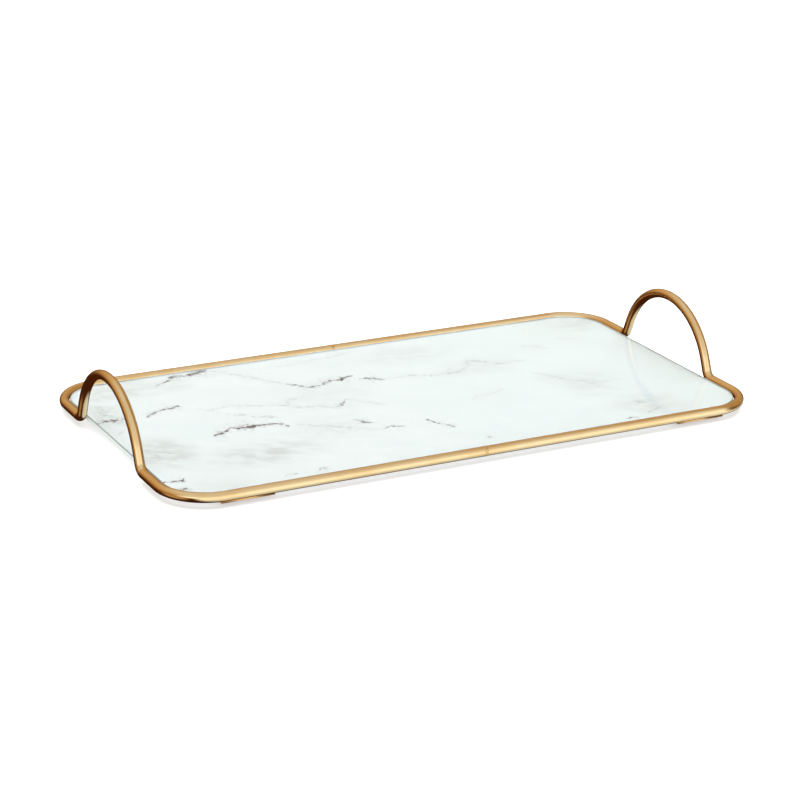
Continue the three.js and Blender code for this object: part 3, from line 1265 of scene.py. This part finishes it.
@dataclass
class Supports:
    """The four sheet tabs with their welds, foam pads and rubber feet.

    foot_top is the share of the fillet that a foot's top rim has. weld_centre is how high
    a bead's centre lies above the tab, in bead radii. A weld's own box gives its beads'
    radius, and bead_radius stands in the tree until then.
    """

    tab_corner: float = 4 * MM
    tab_fillet: float = 0.18 * MM
    pad_corner: float = 1.0 * MM
    pad_fillet: float = 0.14 * MM
    foot_fillet: float = 0.6 * MM
    foot_top: float = 0.3
    foot_sides: int = 48
    foot_steps: int = 5
    rim_steps: int = 3
    corner_steps: int = 10
    weld_beads: int = 11
    weld_centre: float = 0.35
    bead_radius: float = 0.8 * MM
    bead_least: float = 0.88
    bead_segments: int = 16
    bead_rings: int = 10
    seed: int = 5

    def build(self) -> None:
        """Makes the four supports."""
        beads = self.bead_tree()
        for rail in Rail:
            for end in End:
                place = f"{rail.word}_{end.word}"
                self._tab(place, rail)
                self._weld(place, rail, beads)
                self._pad(place)
                self._foot(place)

    def _tab(self, place: str, rail: Rail) -> None:
        """Makes one tab: square at the rail, with two rounded inner corners.

        Args:
            place: the rail and end, as in the node's name.
            rail: which rail it hangs from.
        """
        low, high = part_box(f"support_tab_{place}")
        centre = (low + high) / 2
        half = (high - low) / 2
        rings = []
        for height, inset in rounded_levels(low.z, high.z, self.tab_fillet, self.rim_steps):
            ring = []
            for x, y in self._tab_outline(half.x - inset, half.y - inset, self.tab_corner - inset):
                ring.append(Vector((centre.x - rail.value * x, centre.y - rail.value * y, height)))
            rings.append(ring)
        tab = add_object(f"sheet_tab_{place}", stacked(rings), GoldSheet())
        stand_for(tab, f"support_tab_{place}")

    def _tab_outline(self, half_x: float, half_y: float, radius: float) -> list[Point2]:
        """A tab's outline about its middle, for a front tab, anticlockwise.

        Args:
            half_x: half its length.
            half_y: half its depth.
            radius: the radius of its inner corners.

        Returns:
            Its points.
        """
        points = [(-half_x, -half_y), (half_x, -half_y)]
        for centre_x, first in ((half_x - radius, 0.0), (radius - half_x, 90.0)):
            for step in range(self.corner_steps + 1):
                angle = math.radians(first + 90.0 * step / self.corner_steps)
                across, inward = radius * math.cos(angle), radius * math.sin(angle)
                points.append((centre_x + across, half_y - radius + inward))
        return points

    def bead_tree(self) -> ShapeTree:
        """The tree that lays a row of overlapping weld puddles along a line.

        Returns:
            The tree.
        """
        shape = ShapeTree("weld_row", {"Beads": self.weld_beads, "Radius": self.bead_radius})
        curve = shape.node("GeometryNodeMeshToCurve", None, {"Mesh": shape.given.outputs["Geometry"]})
        spots = shape.node(
            "GeometryNodeCurveToPoints", {"mode": "COUNT"},
            {"Curve": curve.outputs["Curve"], "Count": shape.given.outputs["Beads"]},
        )
        puddle = shape.node(
            "GeometryNodeMeshUVSphere", None,
            {"Segments": self.bead_segments, "Rings": self.bead_rings,
             "Radius": shape.given.outputs["Radius"]},
        )
        size = shape.node(
            "FunctionNodeRandomValue", {"data_type": "FLOAT"},
            {"Min": self.bead_least, "Max": 1.0, "Seed": self.seed},
        )
        rows = shape.node(
            "GeometryNodeInstanceOnPoints", None,
            {"Points": spots.outputs["Points"], "Instance": puddle.outputs["Mesh"],
             "Scale": size.outputs["Value"]},
        )
        shape.end(rows.outputs["Instances"], GoldWeld())
        return shape

    def _weld(self, place: str, rail: Rail, beads: ShapeTree) -> None:
        """Makes one fillet weld as a row of puddles.

        Args:
            place: the rail and end, as in the node's name.
            rail: which rail it is on.
            beads: the tree that lays the puddles.
        """
        low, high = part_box(f"tab_weld_{place}")
        radius = (high.y - low.y) / 2
        y = low.y + radius if rail is Rail.FRONT else high.y - radius
        z = low.z + radius * self.weld_centre
        ends = [Vector((x, y, z)) for x in (low.x + radius, high.x - radius)]
        weld = beads.run(f"fillet_weld_{place}", polyline(ends), Radius=radius)
        for face in weld.data.polygons:
            face.use_smooth = True
        stand_for(weld, f"tab_weld_{place}")

    def _pad(self, place: str) -> None:
        """Makes one foam pad.

        Args:
            place: the rail and end, as in the node's name.
        """
        low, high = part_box(f"foam_pad_{place}")
        centre = (low + high) / 2
        half = (high - low) / 2
        rings = []
        for height, inset in rounded_levels(low.z, high.z, self.pad_fillet, self.rim_steps):
            radius = self.pad_corner - inset
            outline = rounded_rectangle(half.x - inset, half.y - inset, radius, self.corner_steps)
            rings.append([Vector((centre.x + x, centre.y + y, height)) for x, y in outline])
        pad = add_object(f"tape_pad_{place}", stacked(rings), FoamTape())
        stand_for(pad, f"foam_pad_{place}")

    def _foot(self, place: str) -> None:
        """Makes one moulded foot.

        Args:
            place: the rail and end, as in the node's name.
        """
        low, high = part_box(f"rubber_foot_{place}")
        centre = (low + high) / 2
        radius = (high.x - low.x) / 2
        angles = [math.tau * side / self.foot_sides for side in range(self.foot_sides)]
        rings = []
        for height, inset in rounded_levels(low.z, high.z, self.foot_fillet, self.foot_steps):
            reach = radius - (inset if height < centre.z else inset * self.foot_top)
            rings.append([Vector((centre.x + reach * math.cos(a), centre.y + reach * math.sin(a), height))
                          for a in angles])
        foot = add_object(f"moulded_foot_{place}", stacked(rings), FootRubber())
        stand_for(foot, f"rubber_foot_{place}")


# ---------------------------------------------------------------- studio


@dataclass(frozen=True)
class Glow:
    """A soft round patch, light or dark, on the studio's far walls, with angles in degrees."""

    towards: Point3
    half_angle: float
    softness: float
    colour: Colour

    def share(self, book: NodeBook, direction: Socket) -> Value:
        """Adds the patch's nodes.

        Args:
            book: the world's nodes.
            direction: the direction that is looked in.

        Returns:
            How much of the patch is there, from 0 to 1.
        """
        near = book.dot(direction, tuple(Vector(self.towards).normalized()))
        inner = math.cos(math.radians(max(0.0, self.half_angle - self.softness)))
        outer = math.cos(math.radians(self.half_angle + self.softness))
        return near.step(outer, inner)


@dataclass(frozen=True)
class SoftBox:
    """A square soft light that looks at the tray."""

    place: Point3
    side: float
    watts: float
    colour: Colour = (0.895, 1.0, 1.05)

    def build(self) -> None:
        """Hangs the light."""
        data = bpy.data.lights.new("soft_box", "AREA")
        data.shape = "SQUARE"
        data.size = self.side
        data.energy = self.watts
        data.color = self.colour
        light = bpy.data.objects.new("soft_box", data)
        light.location = self.place
        light.rotation_euler = Vector(self.place).to_track_quat("Z", "Y").to_euler()
        light.visible_glossy = False
        bpy.context.scene.collection.objects.link(light)


@dataclass(frozen=True)
class FloorPaint(Finish):
    """A plain white table, lit softly from inside."""

    title: str = "light_table"
    colour: Colour = (0.50, 0.50, 0.50)
    light: tuple[float, ...] = (1.0, 1.0, 1.0, 1.0)
    glow: float = 0.54
    roughness: float = 0.9

    def surface(self, book: NodeBook) -> Socket:
        """Adds the floor's nodes.

        Args:
            book: the material's nodes.

        Returns:
            The shader.
        """
        return self.principled(
            book,
            Base_Color=self.colour,
            Roughness=self.roughness,
            Specular_IOR_Level=0.0,
            Emission_Color=self.light,
            Emission_Strength=self.glow,
        )


@dataclass
class Studio:
    """The floor, the lights and the camera. None of them is part of the tray.

    front and rear are the colours of the two halves of the sky, from straight down to
    straight up. Each facing says which way the front half lies, and its edge how soon it
    begins: the wall's from the horizon up, and the floor's below it. Angles are in degrees.
    """

    floor_size: float = 12.0
    azimuth: float = -27.34
    elevation: float = 19.65
    roll: float = 0.775
    distance: float = 1.376
    lens: float = 109.1
    aim: Point2 = (-3.97 * MM, -3.32 * MM)
    soft_box: SoftBox = SoftBox((0.20, 0.35, 1.65), 2.6, 88.0)
    front: tuple[tuple[float, Colour], ...] = (
        (0.00, (0.60, 0.68, 0.76)),
        (0.18, (0.80, 0.89, 0.98)),
        (0.32, (1.20, 1.27, 1.37)),
        (0.63, (1.14, 1.18, 1.26)),
        (0.77, (0.82, 0.84, 0.87)),
        (0.95, (0.68, 0.70, 0.72)),
    )
    rear: tuple[tuple[float, Colour], ...] = (
        (0.00, (0.050, 0.014, 0.004)),
        (0.38, (0.060, 0.016, 0.004)),
        (0.50, (0.24, 0.12, 0.05)),
        (0.60, (0.46, 0.29, 0.13)),
        (0.75, (0.60, 0.45, 0.28)),
        (0.95, (0.68, 0.70, 0.72)),
    )
    wall_facing: Point3 = (0.25, -0.97, 0.0)
    wall_edge: Point2 = (-0.30, 0.30)
    floor_facing: Point3 = (0.62, -0.78, 0.0)
    floor_edge: Point2 = (0.02, 0.38)
    horizon: Point2 = (-0.15, 0.05)
    glows: tuple[Glow, ...] = (
        Glow((1.0, -0.12, 0.06), 31.0, 14.0, (0.17, 0.12, 0.06)),
        Glow((0.85, 0.15, 0.50), 30.0, 12.0, (0.44, 0.31, 0.16)),
        Glow((-0.92, 0.02, -0.38), 17.0, 18.0, (0.48, 0.33, 0.18)),
    )

    def build(self) -> None:
        """Makes the stage."""
        self._floor()
        self._lights()
        self._camera()

    def _floor(self) -> None:
        """Lays the floor under the tray."""
        half = self.floor_size / 2
        mesh = bpy.data.meshes.new("floor")
        corners = [(-half, -half, 0), (half, -half, 0), (half, half, 0), (-half, half, 0)]
        mesh.from_pydata(corners, [], [(0, 1, 2, 3)])
        floor = add_object("floor", mesh, FloorPaint())
        floor.visible_glossy = False

    def _lights(self) -> None:
        """Lights the tray with a soft sky and the soft box."""
        world = bpy.data.worlds.new("studio")
        bpy.context.scene.world = world
        world.use_nodes = True
        book = NodeBook(world.node_tree)
        direction = book.node("ShaderNodeTexCoord").outputs["Generated"]
        height = book.dot(direction, UP)
        level = {"Fac": height * 0.5 + 0.5}
        front = book.node("ShaderNodeValToRGB", {"ramp": self.front}, level).outputs["Color"]
        rear = book.node("ShaderNodeValToRGB", {"ramp": self.rear}, level).outputs["Color"]
        wall_share = book.dot(direction, self.wall_facing).step(*self.wall_edge)
        floor_share = book.dot(direction, self.floor_facing).step(*self.floor_edge)
        share = floor_share + height.step(*self.horizon) * (wall_share - floor_share)
        colour = book.mix(share, rear, front)
        for glow in self.glows:
            colour = book.mix(glow.share(book, direction), colour, glow.colour)
        background = book.node("ShaderNodeBackground", None, {"Color": colour, "Strength": 1.0})
        book.node("ShaderNodeOutputWorld", None, {"Surface": background.outputs["Background"]})
        bpy.context.scene.view_settings.view_transform = "Standard"
        self.soft_box.build()

    def _camera(self) -> None:
        """Places the camera."""
        level = sum(corner.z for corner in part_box("rail_weld_front")) / 2
        turn, tilt = math.radians(self.azimuth), math.radians(self.elevation)
        back = Vector((math.sin(turn) * math.cos(tilt), -math.cos(turn) * math.cos(tilt), math.sin(tilt)))
        data = bpy.data.cameras.new("camera")
        data.lens = self.lens
        data.clip_end = self.floor_size * 2
        camera = bpy.data.objects.new("camera", data)
        bpy.context.scene.collection.objects.link(camera)
        camera.location = Vector((*self.aim, level)) + back * self.distance
        facing = (-back).to_track_quat("-Z", "Y").to_matrix().to_4x4()
        camera.rotation_euler = (facing @ Matrix.Rotation(math.radians(self.roll), 4, "Z")).to_euler()
        bpy.context.scene.camera = camera


def main() -> None:
    """Builds the tray and its stage."""
    logging.basicConfig(level=logging.INFO, format="%(message)s")
    rods = RodFrame()
    for part in (rods, Panel(rods), Supports(), Studio()):
        part.build()


if __name__ == "__main__":
    main()
